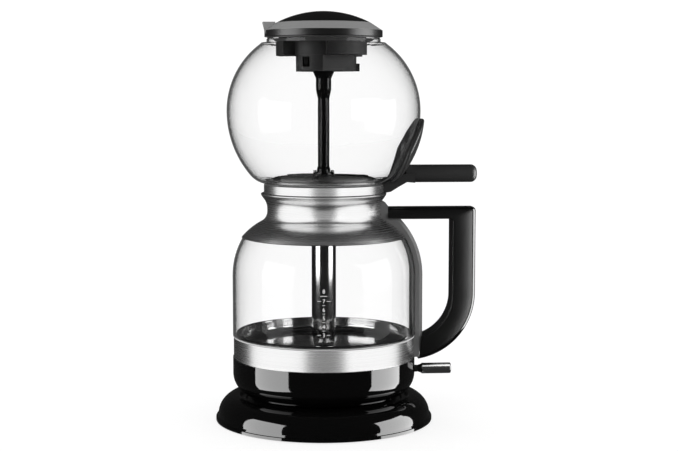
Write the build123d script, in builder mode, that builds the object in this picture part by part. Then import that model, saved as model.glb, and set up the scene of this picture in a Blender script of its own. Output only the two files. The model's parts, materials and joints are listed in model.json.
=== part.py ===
from build123d import *
from math import asin, atan2, cos, degrees, radians, sin, sqrt
import os

# Siphon coffee maker: a cordless power base, a glass carafe with its heater below and a
# D-shaped handle, a brew unit (glass globe on a steel ring with a siphon tube), a filter
# on a tall stem, and a lid that drops into the globe's mouth.
# Millimetres. The origin is on the axis of the carafe, on the surface the base stands on.
# +Z is up, +X points to the handles, and the cord leaves the base towards +Y.

os.makedirs("parts", exist_ok=True)

# ---------------------------------------------------------------- driving dimensions
# clearances
body_gap = 0.3  # between pieces of bodies that move apart
pin_gap = 0.05  # radial play of a pin in a moving bore
seat_slack = 0.2  # a plate in its recess, a screw in its hole

# power base
foot_h = 0.6
foot_ring_in = 18.2  # from the base's radius to the foot ring's
foot_ring_w = 8.0
base_out = 13.6  # from the body's radius to the base's
base_lip = 2.1  # how far the foot of the shell stands out
base_lip_h = 2.5
base_corner = 18.0
base_h = 23.2
base_wall = 2.8
base_plate_t = 2.0
base_screw_in = 14.0  # from the base's radius to its screws
base_screw_r = 1.5
base_screw_head_r = 3.0
base_boss_r = 3.5
base_screws_n = 4
seat_drop = 0.5  # the seat lies this far below the crest
valley_depth = 3.2
valley_in = 9.6  # from the body's radius to the middle of the valley
valley_w = 4.0
valley_slope = 3.4
cord_r = 3.5
gland_wall = 2.0
gland_flange = 0.7
gland_z = 9.6

# cordless connector
post_r = 15.0
post_rise = 14.3  # above the seat
post_flange_t = 1.7
socket_wall = 5.0
socket_roof = 2.6
contact_ring_r = 9.2
contact_ring_w = 1.2
socket_gap = 0.4  # between the post and the socket
centre_bore_r = 2.0
centre_bore_depth = 9.0
ring_slot_depth = 6.0
post_foot_r = 8.0

# heater housing and band
body_r = 82.6  # the carafe glass, and the housing below it
housing_h = 34.5
housing_corner = 20.0
housing_wall = 2.5
band_h = 19.1
band_inset = 0.7
band_t = 1.5
plate_floor_up = 10.6  # the heating plate's floor above the band's foot
plate_t = 1.2
plate_corner = 7.2
plate_wall_in = 5.5  # from the body's radius to the heating plate's wall
plate_lip_h = 2.3
seal_t = 1.2
spreader_t = 3.3
spreader_in = 24.6  # from the body's radius
element_in = 40.6
element_wire_r = 4.0
stud_r = 3.0
stud_circle_in = 20.6
studs_n = 3
housing_screw_r = 1.6
housing_screw_head_r = 3.3
housing_screw_sink = 4.0
housing_boss_r = 5.0
housing_boss_h = 4.5

# carafe glass and collar
glass_t = 2.4
glass_wall_h = 53.7  # the upright part of the wall
shoulder_r = 68.0
shoulder_rise = 34.8  # up to the collar's lower edge
collar_t = 0.8
collar_foot_out = 1.2  # the collar's foot stands this far outside the glass
waist_r = 51.0
waist_up = 25.9  # above the collar's foot
waist_flat = 2.7  # the straight part of the neck
waist_low_r = 10.0  # radius of the hollow below it
waist_low_angle = 62.0
waist_high_r = 14.5  # and above it
lip_crease_up = 9.9
lip_out = 1.7
lip_rise = 4.0
neck_seal_t = 0.8

# carafe handle
spine_t = 6.6
spine_w = 20.0
spine_gap = 0.4
spine_foot_up = -0.9  # the spine's foot above the band's foot
spine_foot_in = 2.9
spine_chamfer = 3.0
handle_bolt_up = 9.0  # above the band's foot
bolt_spacing = 10.0
handle_bolt_r = 1.7
handle_bolt_head_r = 2.6
handle_w = 24.0
arm_h = 10.6
arm_top_down = 12.9  # from the collar's rim to the top of the arm
arm_start_r = 57.3
handle_out = 55.5  # from the body's radius to the far side of the grip
grip_w = 22.4
bow_r = 61.4
bow_drop = 5.4  # the bow reaches this far below the band's foot
bow_inner_drop = 1.5  # and its inner side this much further
handle_corner = 4.0
trim_t = 3.6
trim_top_t = 2.4
inner_corner = 3.0
grip_edge = 3.2  # rounding of the grip's edges
trim_edge = 1.8

# switch lever
lever_pivot_in = 8.0
lever_z_up = 21.2  # above the housing's foot
lever_pin_r = 1.6
lever_hub_r = 4.0
lever_w = 6.0
lever_neck_h = 5.3
lever_tip_r = 4.9
lever_tip_start = 7.0  # outside the housing
lever_tip_l = 27.0

# brew unit
ring_out = 2.9  # from the waist's radius to the ring's
ring_h = 8.0
ring_wall = 1.8
ring_gap = 0.4  # above the collar's rim
skirt_in = 11.0  # from the waist's radius to the skirt's
skirt_down = 13.0
tube_r = 11.0
tube_t = 1.0
tube_floor_gap = 3.0  # from the heating plate up to the tube's end
dish_rise = 6.4
globe_t = 2.0
globe_r = 86.9
globe_upper_in = 12.6  # from the globe's radius to the radius of its upper curve
globe_lower_out = 2.1  # and to that of its lower curve
globe_high_in = 27.6  # and to the upper curve's end above the widest level
globe_bend_r = 20.9  # radius of the curve into the flat foot
globe_foot_flat = 0.4  # from the end of that curve in to the hole
globe_hole_in = 4.4  # from the ring's radius to the globe's lower hole
mouth_r = 51.0
mouth_h = 4.0
mouth_bend = 4.5

# brew unit handle
stick_r = 8.05
stick_up = 8.7  # axis above the ring's rim
stick_out = 52.1  # from the globe's radius to the handle's end
stick_in = 12.9  # and inward to where it starts
cap_l = 6.0
cap_edge = 5.5  # rounding of the cap's end
pad_t = 3.8
pad_cut = 15.0  # the web is cut back this deep inside the globe's outline
pad_edge = 1.6  # rounding of the pad's edges
web_w = 18.0
pad_top_up = 58.0
pad_half_w = 36.0
pad_foot_w = 12.0

# filter
filter_in = 8.4  # from the ring's radius to the filter's
filter_h = 5.7
filter_rim_w = 3.0
filter_spokes = 3
filter_bolt_r = 0.8
filter_bolt_head_r = 1.5
bolt_in = 2.1  # from the hub's radius to the bolts
spoke_turn = 16.0  # direction of the first spoke
spoke_w = 5.0
mesh_t = 0.5
mesh_dome_h = 2.0
hub_r = 10.0
stem_r = 5.2
stem_head_r = 6.9
stem_flare_r = 9.6
stem_top_down = 29.2  # from the globe's mouth down to the stem's shoulder
spigot_r = 8.0
spigot_h = 7.0

# lid
lid_r = 52.8
lid_rim_h = 5.6
lid_gap = 1.5  # above the globe's mouth
lid_band_r = 42.3
lid_band_h = 6.9
lid_dome_h = 10.4
lid_wall = 2.5
tab_w = 22.0
tab_reach = 54.5
lid_neck_r = 19.0
plug_r = 30.3
lug_r = 42.6
plug_h = 11.0
plug_down = 4.0  # from the globe's mouth down to the plug's top
socket_cup_r = 29.4
socket_cup_h = 13.9
socket_flat = 24.2
lid_seal_r = 50.3
window_w = 6.0  # of the snap finger
finger_x = -16.8
finger_y = -18.5
hook_w = 9.0

# ---------------------------------------------------------------- levels and radii
base_r = body_r + base_out
foot_ring_r = base_r - foot_ring_in
valley_r = body_r - valley_in
spreader_r = body_r - spreader_in
element_r = body_r - element_in
stud_circle_r = body_r - stud_circle_in
handle_reach = body_r + handle_out
ring_r = waist_r + ring_out
skirt_r = waist_r - skirt_in
globe_hole_r = ring_r - globe_hole_in
filter_r = ring_r - filter_in
globe_upper_r = globe_r - globe_upper_in
globe_lower_r = globe_r + globe_lower_out
globe_foot_r = globe_hole_r + globe_foot_flat
globe_high_up = globe_r - globe_high_in
stick_start = globe_r - stick_in
stick_reach = globe_r + stick_out
shell_foot_z = foot_h
plate_top_z = shell_foot_z + base_plate_t
seat_z = base_h - seat_drop
housing_z = seat_z + body_gap
band_z = housing_z + housing_h
band_top_z = band_z + band_h
glass_z = band_top_z + seal_t
plate_floor_z = band_z + plate_floor_up
shoulder_z = glass_z + glass_wall_h
collar_z = shoulder_z + shoulder_rise
waist_z = collar_z + waist_up
crease_z = waist_z + lip_crease_up
rim_z = crease_z + lip_rise
neck_glass_r = waist_r - collar_t - neck_seal_t
neck_top_z = rim_z - 3.1
ring_z = rim_z + ring_gap
ring_top_z = ring_z + ring_h
dish_z = ring_top_z - 2.6
globe_seat_z = ring_top_z + 0.1
bend_up = globe_seat_z + globe_bend_r
globe_z = bend_up + sqrt((globe_lower_r - globe_bend_r) ** 2 - (globe_foot_r + globe_lower_out) ** 2)
mouth_base_z = globe_z + globe_high_up
mouth_z = mouth_base_z + mouth_h + 1.2
stick_z = ring_top_z + stick_up
arm_top_z = rim_z - arm_top_down
arm_low_z = arm_top_z - arm_h
bow_x = handle_reach - bow_r
bow_z = band_z + bow_r - bow_drop
spine_r = body_r + spine_t
lever_z = housing_z + lever_z_up
lever_x = body_r - lever_pivot_in
filter_z = ring_top_z - 0.2
lid_z = mouth_z + lid_gap

UP_FROM = (Align.CENTER, Align.CENTER, Align.MIN)


# ---------------------------------------------------------------- shared shapes
def on_circle(centre, radius, angle):
    """The point of a circle in an upright section at an angle in degrees."""
    return (centre[0] + radius * cos(radians(angle)), centre[1] + radius * sin(radians(angle)))


def disc(radius, z_low, z_high, mode=Mode.ADD):
    """A round plate about the Z axis, in the part being built."""
    with Locations((0, 0, z_low)):
        Cylinder(radius, z_high - z_low, align=UP_FROM, mode=mode)


def ring(r_in, r_out, z_low, z_high):
    """A plain ring about the Z axis, in the part being built."""
    disc(r_out, z_low, z_high)
    disc(r_in, z_low, z_high, mode=Mode.SUBTRACT)


def cap_radius(chord, rise):
    """Radius of the sphere under a dome of a given half width and height."""
    return (chord**2 + rise**2) / (2 * rise)


def finish_part(builder, name):
    """Label a finished piece and write it."""
    builder.part.label = name
    export_step(builder.part, f"parts/{name}.step")


# ================================================================ power base
crest_r = base_r - base_corner
crest_z = base_h - base_corner
valley_z = seat_z - valley_depth
screw_circle_r = base_r - base_screw_in

with BuildPart() as base_shell:
    with BuildSketch(Plane.XZ):
        with BuildLine():
            lip_r = base_r + base_lip
            Line((lip_r, shell_foot_z), (lip_r, shell_foot_z + base_lip_h))
            Line((lip_r, shell_foot_z + base_lip_h), (base_r + 0.9, shell_foot_z + base_lip_h + 0.3))
            Line((base_r + 0.9, shell_foot_z + base_lip_h + 0.3), (base_r, crest_z))
            CenterArc((crest_r, crest_z), base_corner, 0, 90)
            Polyline(
                (crest_r, base_h),
                (valley_r + valley_w / 2 + valley_slope * 0.5, base_h - 0.6),
                (valley_r + valley_w / 2, valley_z),
                (valley_r - valley_w / 2, valley_z),
                (valley_r - valley_w / 2 - valley_slope, seat_z),
                (post_r + body_gap, seat_z),
                (post_r + body_gap, seat_z - base_wall),
                (valley_r - valley_w / 2 - valley_slope - 1.2, seat_z - base_wall),
                (valley_r - valley_w / 2 - 1.2, valley_z - base_wall),
                (valley_r + valley_w / 2 + 1.2, valley_z - base_wall),
                (crest_r, base_h - base_wall),
            )
            CenterArc((crest_r, crest_z), base_corner - base_wall, 0, 90)
            Line((base_r - base_wall, crest_z), (base_r - base_wall, shell_foot_z))
            Line((base_r - base_wall, shell_foot_z), (lip_r, shell_foot_z))
        make_face()
    revolve(axis=Axis.Z)
    # screw bosses under the crest
    with BuildSketch(Plane.XY.offset(plate_top_z)):
        with PolarLocations(screw_circle_r, base_screws_n, start_angle=45):
            Circle(base_boss_r)
    extrude(amount=base_h - base_wall - seat_slack - plate_top_z)
    with BuildSketch(Plane.XY.offset(plate_top_z)):
        with PolarLocations(screw_circle_r, base_screws_n, start_angle=45):
            Circle(base_screw_r)
    extrude(amount=10, mode=Mode.SUBTRACT)
    # opening for the cord gland
    with BuildSketch(Plane.XZ.offset(-(base_r - 12))):
        with Locations((0, gland_z)):
            Circle(cord_r + gland_wall)
    extrude(amount=-20, mode=Mode.SUBTRACT)
finish_part(base_shell, "base_shell")

with BuildPart() as base_bottom_plate:
    disc(base_r - base_wall - seat_slack, shell_foot_z, plate_top_z)
    with Locations(Plane.XY.offset(shell_foot_z)):
        with PolarLocations(screw_circle_r, base_screws_n, start_angle=45):
            Cylinder(base_screw_r + seat_slack, base_plate_t, align=UP_FROM, mode=Mode.SUBTRACT)
            Cylinder(base_screw_head_r, base_plate_t * 0.6, align=UP_FROM, mode=Mode.SUBTRACT)
finish_part(base_bottom_plate, "base_bottom_plate")

with BuildPart() as base_foot_ring:
    ring(foot_ring_r - foot_ring_w, foot_ring_r, 0, foot_h)
    fillet(base_foot_ring.edges().group_by(Axis.Z)[0], 0.4)
finish_part(base_foot_ring, "base_foot_ring")

with BuildPart() as base_screws:
    with Locations(Plane.XY.offset(shell_foot_z + base_plate_t * 0.6)):
        with PolarLocations(screw_circle_r, base_screws_n, start_angle=45):
            Cylinder(base_screw_r - pin_gap, 9.5, align=UP_FROM)
            with Locations((0, 0, -1.0)):
                Cylinder(base_screw_head_r - seat_slack, 1.0, align=UP_FROM)
            with Locations((0, 0, -1.0)):
                Box(3.2, 0.7, 0.5, align=UP_FROM, mode=Mode.SUBTRACT)
finish_part(base_screws, "base_screws")

gland_y = base_r + 1.1
with BuildPart() as cord_gland:
    with BuildSketch(Plane.XZ.offset(-(base_r - base_wall - 7))):
        with Locations((0, gland_z)):
            Circle(cord_r + gland_wall)
    extrude(amount=-(gland_y + 2.4 - (base_r - base_wall - 7)))
    with BuildSketch(Plane.XZ.offset(-gland_y)):
        with Locations((0, gland_z)):
            Circle(cord_r + gland_wall + gland_flange)
    extrude(amount=-1.6)
    with BuildSketch(Plane.XZ.offset(-(base_r - base_wall - 6.0))):
        with Locations((0, gland_z)):
            Circle(cord_r + gland_wall + gland_flange)
    extrude(amount=-1.5)
    with BuildSketch(Plane.XZ.offset(-(base_r - base_wall - 9))):
        with Locations((0, gland_z)):
            Circle(cord_r)
    extrude(amount=-30, mode=Mode.SUBTRACT)
finish_part(cord_gland, "cord_gland")

with BuildPart() as terminal_block:
    with Locations((0, 52, plate_top_z)):
        Box(26, 14, 8, align=UP_FROM)
    with Locations((0, 52, plate_top_z + 8)):
        with GridLocations(8, 1, 3, 1):
            Cylinder(2.0, 3.0, align=(Align.CENTER, Align.CENTER, Align.MAX), mode=Mode.SUBTRACT)
finish_part(terminal_block, "terminal_block")

with BuildPart() as cord_clamp:
    with Locations((0, 72, plate_top_z)):
        Box(24, 9, 6, align=UP_FROM)
    with BuildSketch(Plane.XZ.offset(-60)):
        with Locations((0, gland_z - 0.4)):
            Circle(cord_r)
    extrude(amount=-24, mode=Mode.SUBTRACT)
finish_part(cord_clamp, "cord_clamp")

# ================================================================ cordless connector
post_top_z = seat_z + post_rise
flange_z = seat_z - base_wall - body_gap
slot_w = contact_ring_w + 0.8

with BuildPart() as connector_post:
    disc(post_r, flange_z - 1, post_top_z)
    disc(post_r + 4, flange_z - post_flange_t, flange_z)
    disc(post_foot_r, plate_top_z + body_gap, flange_z)
    fillet(connector_post.edges().group_by(Axis.Z)[-1], 1.2)
    with BuildSketch(Plane.XY.offset(post_top_z)):
        Circle(contact_ring_r + slot_w / 2)
        Circle(contact_ring_r - slot_w / 2, mode=Mode.SUBTRACT)
        Circle(centre_bore_r)
    extrude(amount=-ring_slot_depth, mode=Mode.SUBTRACT)
    disc(centre_bore_r, post_top_z - centre_bore_depth, post_top_z, mode=Mode.SUBTRACT)
finish_part(connector_post, "connector_post")

with BuildPart() as connector_contacts:
    slot_floor_z = post_top_z - ring_slot_depth
    bore_floor_z = post_top_z - centre_bore_depth
    ring(contact_ring_r - contact_ring_w / 2, contact_ring_r + contact_ring_w / 2, slot_floor_z, slot_floor_z + 1)
    disc(centre_bore_r - socket_gap, bore_floor_z, bore_floor_z + 1)
finish_part(connector_contacts, "connector_contacts")

# ================================================================ carafe: heater
socket_bore_r = post_r + socket_gap
socket_r = socket_bore_r + socket_wall
socket_top_z = post_top_z + 1.5 + socket_roof
floor_z = housing_z + housing_wall
boss_top_z = floor_z + housing_boss_h
ear_in = lever_w / 2 + 1.2

with BuildPart() as heater_housing:
    with BuildSketch(Plane.XZ):
        with BuildLine():
            corner_r = body_r - housing_corner
            corner_z = housing_z + housing_corner
            Line((body_r, band_z), (body_r, corner_z))
            CenterArc((corner_r, corner_z), housing_corner, -90, 90)
            Line((corner_r, housing_z), (socket_r + seat_slack, housing_z))
            Line((socket_r + seat_slack, housing_z), (socket_r + seat_slack, floor_z))
            Line((socket_r + seat_slack, floor_z), (corner_r, floor_z))
            CenterArc((corner_r, corner_z), housing_corner - housing_wall, -90, 90)
            Line((body_r - housing_wall, corner_z), (body_r - housing_wall, band_z))
            Line((body_r - housing_wall, band_z), (body_r, band_z))
        make_face()
    revolve(axis=Axis.Z)
    # screw bosses on the floor
    with BuildSketch(Plane.XY.offset(floor_z)):
        with PolarLocations(stud_circle_r, studs_n, start_angle=30):
            Circle(housing_boss_r)
    extrude(amount=boss_top_z - floor_z)
    with BuildSketch(Plane.XY.offset(housing_z)):
        with PolarLocations(stud_circle_r, studs_n, start_angle=30):
            Circle(housing_screw_r + seat_slack)
    extrude(amount=boss_top_z - housing_z, mode=Mode.SUBTRACT)
    with BuildSketch(Plane.XY.offset(housing_z)):
        with PolarLocations(stud_circle_r, studs_n, start_angle=30):
            Circle(housing_screw_head_r)
    extrude(amount=housing_screw_sink, mode=Mode.SUBTRACT)
    # two ears that carry the lever's pin
    with BuildSketch(Plane.XZ) as ear:
        with Locations((lever_x + 1.5, lever_z)):
            Rectangle(2 * lever_pivot_in - 3.6, 11)
    for side in (-1, 1):
        extrude(ear.sketch.moved(Location((0, side * (ear_in + 1.0), 0))), amount=1.0, both=True)
    with BuildSketch(Plane.XZ):
        with Locations((lever_x, lever_z)):
            Circle(lever_pin_r)
    extrude(amount=10, both=True, mode=Mode.SUBTRACT)
    # the slot that the lever's neck comes out of
    with BuildSketch(Plane.YZ.offset(body_r - housing_wall - 2)):
        with Locations((0, lever_z - 1.0)):
            RectangleRounded(lever_w + 1.6, lever_neck_h + 5.0, 2.0)
    extrude(amount=6, mode=Mode.SUBTRACT)
finish_part(heater_housing, "heater_housing")

with BuildPart() as housing_screws:
    with BuildSketch(Plane.XY.offset(housing_z + housing_screw_sink)):
        with PolarLocations(stud_circle_r, studs_n, start_angle=30):
            Circle(housing_screw_r - pin_gap)
    extrude(amount=12)
    with BuildSketch(Plane.XY.offset(housing_z + housing_screw_sink)):
        with PolarLocations(stud_circle_r, studs_n, start_angle=30):
            Circle(housing_screw_head_r - body_gap)
    extrude(amount=-2.4)
finish_part(housing_screws, "housing_screws")

with BuildPart() as connector_socket:
    disc(socket_r, housing_z + body_gap, socket_top_z)
    disc(socket_r + 4.3, floor_z, floor_z + 2)
    disc(socket_bore_r, housing_z - 1, socket_top_z - socket_roof, mode=Mode.SUBTRACT)
finish_part(connector_socket, "connector_socket")

with BuildPart() as connector_pins:
    roof_z = socket_top_z - socket_roof
    ring(contact_ring_r - contact_ring_w / 2, contact_ring_r + contact_ring_w / 2, slot_floor_z + 2, roof_z)
    disc(centre_bore_r - 0.5, bore_floor_z + 2, roof_z)
finish_part(connector_pins, "connector_pins")

spreader_z = plate_floor_z - plate_t - spreader_t
with BuildPart() as control_module:
    with Locations((0, 0, socket_top_z)):
        Box(44, 38, 10, align=UP_FROM)
    fillet(control_module.edges().filter_by(Axis.Z), 3)
    disc(8, socket_top_z + 10, spreader_z)
    with Locations((25, 0, socket_top_z + 2)):
        Box(8, 10, 6, align=UP_FROM)
finish_part(control_module, "control_module")

element_z = spreader_z - element_wire_r + 1.0
element_end = 30  # the two ends lie this far each side of +X, in degrees
element_plane = Plane(
    origin=(0, 0, 0),
    x_dir=(cos(radians(element_end)), sin(radians(element_end)), 0),
    z_dir=(sin(radians(element_end)), -cos(radians(element_end)), 0),
)
with BuildPart() as heating_element:
    with BuildSketch(element_plane):
        with Locations((element_r, element_z)):
            Circle(element_wire_r)
    revolve(axis=Axis.Z, revolution_arc=360 - 2 * element_end)
    for turn in (element_end, -element_end):
        with PolarLocations(element_r, 1, start_angle=turn):
            with Locations((0, 0, element_z)):
                Cylinder(2.4, 10, align=(Align.CENTER, Align.CENTER, Align.MAX))
finish_part(heating_element, "heating_element")

with BuildPart() as heat_spreader:
    disc(spreader_r, spreader_z, plate_floor_z - plate_t)
    with BuildSketch(Plane.XZ):
        with Locations((element_r, element_z)):
            Circle(element_wire_r)
    revolve(axis=Axis.Z, mode=Mode.SUBTRACT)
finish_part(heat_spreader, "heat_spreader")

with BuildPart() as hot_plate:
    with BuildSketch(Plane.XZ):
        with BuildLine():
            wall_r = body_r - plate_wall_in
            out_r = body_r - glass_t - 0.4
            low = plate_floor_z - plate_t
            bend = wall_r - plate_corner
            Line((0, low), (bend, low))
            CenterArc((bend, low + plate_corner), plate_corner, -90, 90)
            Polyline(
                (wall_r, low + plate_corner),
                (wall_r, glass_z),
                (out_r, glass_z),
                (out_r, glass_z + plate_lip_h),
                (out_r - plate_t, glass_z + plate_lip_h),
                (out_r - plate_t, glass_z + plate_t),
                (wall_r - plate_t, glass_z + plate_t),
                (wall_r - plate_t, low + plate_corner),
            )
            CenterArc((bend, low + plate_corner), plate_corner - plate_t, -90, 90)
            Line((bend, low + plate_t), (0, low + plate_t))
            Line((0, low + plate_t), (0, low))
        make_face()
    revolve(axis=Axis.Z)
    # studs for the housing's screws
    with BuildSketch(Plane.XY.offset(low)):
        with PolarLocations(stud_circle_r, studs_n, start_angle=30):
            Circle(stud_r)
    extrude(amount=boss_top_z - low)
    with BuildSketch(Plane.XY.offset(boss_top_z)):
        with PolarLocations(stud_circle_r, studs_n, start_angle=30):
            Circle(housing_screw_r)
    extrude(amount=10, mode=Mode.SUBTRACT)
finish_part(hot_plate, "hot_plate")

# screws from inside the band, through the handle's spine and into its grip
handle_bolt_z = band_z + handle_bolt_up
band_r = body_r - band_inset
with BuildPart() as handle_screws:
    with Locations(Plane.YZ.offset(band_r - band_t - 0.6)):
        with Locations((0, handle_bolt_z)):
            with GridLocations(bolt_spacing, 1, 2, 1):
                Cylinder(handle_bolt_r, spine_t + 9, align=UP_FROM)
                Cylinder(handle_bolt_head_r, 1.0, align=(Align.CENTER, Align.CENTER, Align.MAX))
finish_part(handle_screws, "handle_screws")

with BuildPart() as steel_band:
    ring(band_r - band_t, band_r, band_z, band_top_z)
    flange = body_r - plate_wall_in + 0.3
    disc(band_r, band_top_z - band_t, band_top_z)
    disc(flange, band_top_z - band_t, band_top_z, mode=Mode.SUBTRACT)
    fillet(steel_band.edges().group_by(Axis.Z)[-1].sort_by(SortBy.LENGTH)[-1], 0.6)
    add(handle_screws.part, mode=Mode.SUBTRACT)
finish_part(steel_band, "steel_band")

with BuildPart() as plate_seal:
    ring(body_r - plate_wall_in + 0.3, body_r - 0.2, band_top_z, glass_z)
finish_part(plate_seal, "plate_seal")


# ================================================================ carafe: glass and collar
shoulder_centre = (body_r - shoulder_r, shoulder_z)
shoulder_angle = degrees(asin(shoulder_rise / shoulder_r))
low_centre = (waist_r + waist_low_r, waist_z - waist_flat)
high_centre = (waist_r + waist_high_r, waist_z)
crease_angle = degrees(asin(lip_crease_up / waist_high_r))
bend_angle = 180 + waist_low_angle
bend_tangent = (sin(radians(waist_low_angle)), -cos(radians(waist_low_angle)))


def glass_outline(inset):
    """The carafe glass from its foot to the top of its neck, moved in by inset."""
    neck_r = neck_glass_r - inset
    wall = Line((body_r - inset, glass_z), (body_r - inset, shoulder_z))
    CenterArc(shoulder_centre, shoulder_r - inset, 0, shoulder_angle)
    shoulder_end = on_circle(shoulder_centre, shoulder_r - inset, shoulder_angle)
    hollow_r = low_centre[0] - neck_r
    bend = on_circle(low_centre, hollow_r, bend_angle)
    TangentArc(bend, shoulder_end, tangent=bend_tangent)
    CenterArc(low_centre, hollow_r, 180, waist_low_angle)
    neck = Line((neck_r, low_centre[1]), (neck_r, neck_top_z))
    return wall @ 0, neck @ 1


def collar_outline(inset):
    """The collar from its foot round the waist to the crease below its lip."""
    glass_foot = on_circle(shoulder_centre, shoulder_r, shoulder_angle)
    foot = (glass_foot[0] + collar_foot_out - inset, glass_foot[1])
    bend = on_circle(low_centre, waist_low_r + inset, bend_angle)
    TangentArc(bend, foot, tangent=bend_tangent)
    CenterArc(low_centre, waist_low_r + inset, 180, waist_low_angle)
    Line((waist_r - inset, low_centre[1]), (waist_r - inset, waist_z))
    CenterArc(high_centre, waist_high_r + inset, 180, -crease_angle)
    return foot, on_circle(high_centre, waist_high_r + inset, 180 - crease_angle)


with BuildPart() as carafe_glass:
    with BuildSketch(Plane.XZ):
        with BuildLine():
            outer_low, outer_high = glass_outline(0)
            inner_low, inner_high = glass_outline(glass_t)
            Line(outer_low, inner_low)
            Line(outer_high, inner_high)
        make_face()
    revolve(axis=Axis.Z)
    fillet(carafe_glass.edges().group_by(Axis.Z)[-1], 0.8)
finish_part(carafe_glass, "carafe_glass")

with BuildPart() as neck_collar:
    with BuildSketch(Plane.XZ):
        with BuildLine():
            foot_out, crease_out = collar_outline(0)
            foot_in, crease_in = collar_outline(collar_t)
            lip_r = crease_out[0] + lip_out
            Line(foot_out, foot_in)
            Polyline(
                crease_out,
                (lip_r, rim_z - 1.2),
                (lip_r, rim_z - 0.5),
                (lip_r - 0.5, rim_z),
                (lip_r - 1.6, rim_z),
                crease_in,
            )
        make_face()
    revolve(axis=Axis.Z)
finish_part(neck_collar, "neck_collar")

with BuildPart() as collar_seal:
    disc(waist_r - collar_t, waist_z, neck_top_z)
    disc(neck_glass_r, waist_z, neck_top_z, mode=Mode.SUBTRACT)
    disc(waist_r - collar_t + 1.8, neck_top_z, neck_top_z + 1.2)
    disc(neck_glass_r - glass_t + seat_slack, neck_top_z, neck_top_z + 1.2, mode=Mode.SUBTRACT)
finish_part(collar_seal, "collar_seal")

# ================================================================ carafe: handle


def body_envelope():
    """The round body that the spine lies against, as a section to turn."""
    with BuildSketch(Plane.XZ) as section:
        with BuildLine():
            foot, crease = collar_outline(-0.05)
            near_r = shoulder_r + spine_gap
            CenterArc(shoulder_centre, near_r, 0, shoulder_angle - 1.0)
            shoulder_end = on_circle(shoulder_centre, near_r, shoulder_angle - 1.0)
            Polyline(shoulder_end, (foot[0], shoulder_end[1]), foot)
            Polyline(
                (body_r + spine_gap, shoulder_z),
                (body_r + spine_gap, band_top_z),
                (band_r, band_top_z),
                (band_r, band_z),
                (body_r, band_z),
                (body_r, housing_z),
                (0, housing_z),
                (0, rim_z),
                (crease[0], rim_z),
                crease,
            )
        make_face()
    return section.sketch


def spine_outline():
    """Side view of the spine, overlapping the body that is cut from it."""
    outer_r = shoulder_r + spine_t
    top_angle = degrees(asin((arm_low_z - shoulder_z) / outer_r))
    foot_z = band_z + spine_foot_up
    with BuildSketch(Plane.XZ) as section:
        with BuildLine():
            CenterArc(shoulder_centre, outer_r, 0, top_angle)
            corner = on_circle(shoulder_centre, outer_r, top_angle)
            Polyline(
                corner,
                (arm_start_r, arm_low_z),
                (arm_start_r, arm_top_z + 1.5),
                (arm_start_r - 2.4, arm_top_z + 4.5),
                (waist_r - 4, arm_top_z + 4.5),
                (waist_r - 4, collar_z),
                (body_r - 12, shoulder_z),
                (body_r - 12, foot_z),
                (spine_r - spine_foot_in, foot_z),
                (spine_r, foot_z + 20),
                (spine_r, shoulder_z),
            )
        make_face()
    return section.sketch


def handle_outline(top_in, side_in, corner, drop=0.0):
    """The handle's loop, from the collar along the arm, down the grip and round the bow."""
    right = handle_reach - side_in
    top = arm_top_z - top_in
    low_r = bow_r - side_in
    centre = (bow_x, bow_z - drop)
    end_angle = degrees(asin((spine_r - spine_foot_in - bow_x) / low_r)) - 90
    Line((arm_start_r, top), (right - corner, top))
    CenterArc((right - corner, top - corner), corner, 0, 90)
    Line((right, top - corner), (right, centre[1]))
    CenterArc(centre, low_r, 0, end_angle)
    return (arm_start_r, top), on_circle(centre, low_r, end_angle)


def handle_band(outer, inner):
    """The area between two loops of the handle, each given as top, side and corner."""
    with BuildSketch(Plane.XZ) as section:
        with BuildLine():
            outer_start, outer_end = handle_outline(*outer)
            inner_start, inner_end = handle_outline(*inner)
            Line(outer_start, inner_start)
            Line(outer_end, inner_end)
        make_face()
    return section.sketch


with BuildPart() as handle_spine:
    extrude(spine_outline(), amount=spine_w / 2, both=True)
    outer_face = handle_spine.faces().filter_by(Axis.X).sort_by(Axis.X)[-1]
    chamfer(outer_face.edges().filter_by(Axis.Z), spine_chamfer)
    revolve(body_envelope(), axis=Axis.Z, mode=Mode.SUBTRACT)
    add(handle_screws.part, mode=Mode.SUBTRACT)
finish_part(handle_spine, "handle_spine")

outer_loop = (0, 0, handle_corner)
trim_loop = (trim_top_t, trim_t, handle_corner - 2.0)
inner_loop = (arm_h, grip_w, inner_corner, bow_inner_drop)


def round_sides(builder, radius):
    """Round the edges of a handle piece's two flat sides, apart from those at the collar."""
    edges = builder.faces().filter_by(Axis.Y).edges()
    fillet(edges.filter_by(lambda edge: max((edge @ 0).X, (edge @ 1).X) > arm_start_r + 1), radius)


with BuildPart() as handle_grip:
    extrude(handle_band(trim_loop, inner_loop), amount=handle_w / 2, both=True)
    round_sides(handle_grip, grip_edge)
    extrude(spine_outline(), amount=handle_w, both=True, mode=Mode.SUBTRACT)
    add(handle_screws.part, mode=Mode.SUBTRACT)
finish_part(handle_grip, "handle_grip")

with BuildPart() as handle_trim:
    extrude(handle_band(outer_loop, inner_loop), amount=handle_w / 2, both=True)
    round_sides(handle_trim, trim_edge)
    extrude(handle_band(trim_loop, inner_loop), amount=handle_w / 2, both=True, mode=Mode.SUBTRACT)
    extrude(spine_outline(), amount=handle_w, both=True, mode=Mode.SUBTRACT)
finish_part(handle_trim, "handle_trim")

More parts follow.
